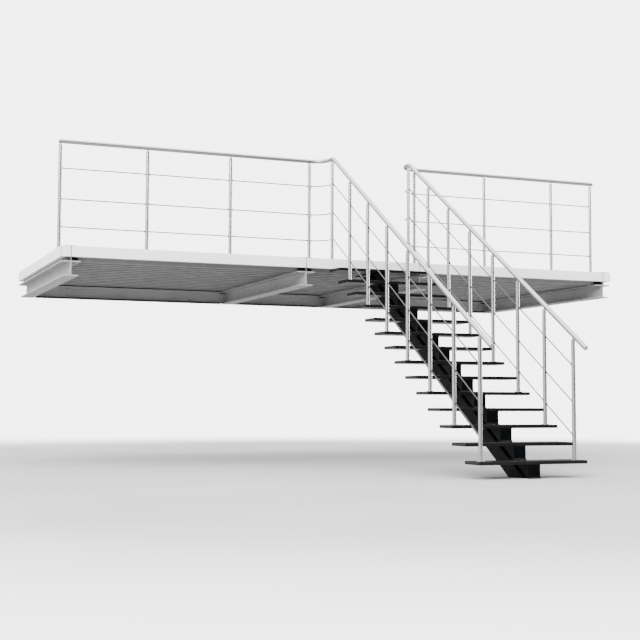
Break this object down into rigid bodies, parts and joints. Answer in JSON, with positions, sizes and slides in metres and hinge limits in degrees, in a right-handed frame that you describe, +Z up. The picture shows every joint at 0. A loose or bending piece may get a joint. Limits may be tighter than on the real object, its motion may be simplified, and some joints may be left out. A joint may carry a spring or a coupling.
{
  "type": "warehouse stair",
  "caption": "Straight open-riser stair on one central stringer, up to a wall-held steel platform with post, rod and handrail guards.",
  "frame": {"origin": "on the wall face of the rear channels, at the middle of the deck's length and at half the height of the beams", "axes": "+X to the right along the platform, +Y to the wall, +Z up"},
  "size_m": [7.103, 6.6584, 3.6389],
  "materials": {
    "tread_paint": "gloss, near black",
    "stringer_paint": "satin, near black",
    "rail_steel": "brushed",
    "beam_paint": "satin, light grey",
    "trim_paint": "satin, white",
    "sheet_steel": "galvanised, dull",
    "floor_coating": "non-slip coating",
    "joint_steel": "satin grey",
    "packer_rubber": "matt black"
  },
  "bodies": {
    "root": {"cross_beam_1": "beam_paint", "cross_beam_2": "beam_paint", "cross_beam_3": "beam_paint", "cross_beam_4": "beam_paint", "floor_end_strips": "floor_coating", "floor_panel_1": "floor_coating", "floor_panel_2": "floor_coating", "floor_panel_3": "floor_coating", "front_trim": "trim_paint", "joint_bars": "joint_steel", "left_guard_posts": "rail_steel", "left_guard_rods": "rail_steel", "left_handrail": "rail_steel", "left_stair_posts": "rail_steel", "left_stair_rods": "rail_steel", "packers": "packer_rubber", "profiled_sheet_1": "sheet_steel", "profiled_sheet_2": "sheet_steel", "profiled_sheet_3": "sheet_steel", "rear_channel_1": "beam_paint", "rear_channel_2": "beam_paint", "rear_channel_3": "beam_paint", "rear_trim": "trim_paint", "right_guard_posts": "rail_steel", "right_guard_rods": "rail_steel", "right_handrail": "rail_steel", "right_stair_posts": "rail_steel", "right_stair_rods": "rail_steel", "side_trims": "trim_paint", "step_brackets": "stringer_paint", "stringer": "stringer_paint", "tread_01": "tread_paint", "tread_02": "tread_paint", "tread_03": "tread_paint", "tread_04": "tread_paint", "tread_05": "tread_paint", "tread_06": "tread_paint", "tread_07": "tread_paint", "tread_08": "tread_paint", "tread_09": "tread_paint", "tread_10": "tread_paint", "tread_11": "tread_paint", "tread_12": "tread_paint", "tread_13": "tread_paint", "tread_14": "tread_paint"}
  },
  "joints": []
}
